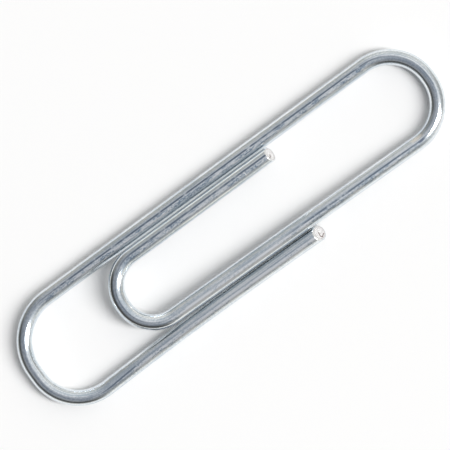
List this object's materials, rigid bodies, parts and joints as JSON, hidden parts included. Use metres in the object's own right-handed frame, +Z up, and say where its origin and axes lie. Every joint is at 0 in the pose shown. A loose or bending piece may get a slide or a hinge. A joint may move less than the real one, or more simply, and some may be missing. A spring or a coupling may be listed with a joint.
{
  "type": "paper clip",
  "caption": "Bent-wire paper clip: one round plated steel wire forms an outer loop and a sprung inner tongue that grip sheets of paper between them.",
  "frame": {"origin": "middle of the clip's outline, on the surface that it lies on", "axes": "+X along the clip to its tip bend, +Y across it to the outer long leg, +Z up"},
  "size_m": [0.033, 0.0082, 0.0017],
  "materials": {
    "zinc_plated_wire": "bright zinc plate on drawn steel wire, with fine lengthwise drawing lines"
  },
  "bodies": {
    "outer_loop": {"outer_long_leg": "zinc_plated_wire", "tip_bend_outer_half": "zinc_plated_wire", "wide_bend_long_half": "zinc_plated_wire"},
    "tongue": {"tip_bend_inner_half": "zinc_plated_wire", "inner_long_leg": "zinc_plated_wire", "inner_bend_long_half": "zinc_plated_wire"},
    "inner_free_arm": {"inner_bend_free_half": "zinc_plated_wire", "inner_free_leg": "zinc_plated_wire"},
    "outer_free_arm": {"wide_bend_free_half": "zinc_plated_wire", "outer_free_leg": "zinc_plated_wire"}
  },
  "joints": [
    {"name": "tongue_lift", "type": "hinge", "parent": "outer_loop", "child": "tongue", "pos_m": [0.01597, 0.00047, 0.00052], "axis": [0, 1, 0], "range_deg": [-8, 8], "stiffness_Nm_per_rad": 0.45},
    {"name": "inner_free_arm_lift", "type": "hinge", "parent": "tongue", "child": "inner_free_arm", "pos_m": [-0.00879, 0.00008, 0.00113], "axis": [0, -1, 0], "range_deg": [-5, 5], "stiffness_Nm_per_rad": 0.9},
    {"name": "outer_free_arm_lift", "type": "hinge", "parent": "outer_loop", "child": "outer_free_arm", "pos_m": [-0.01597, 0, 0.00052], "axis": [0, -1, 0], "range_deg": [-5, 5], "stiffness_Nm_per_rad": 0.6}
  ]
}
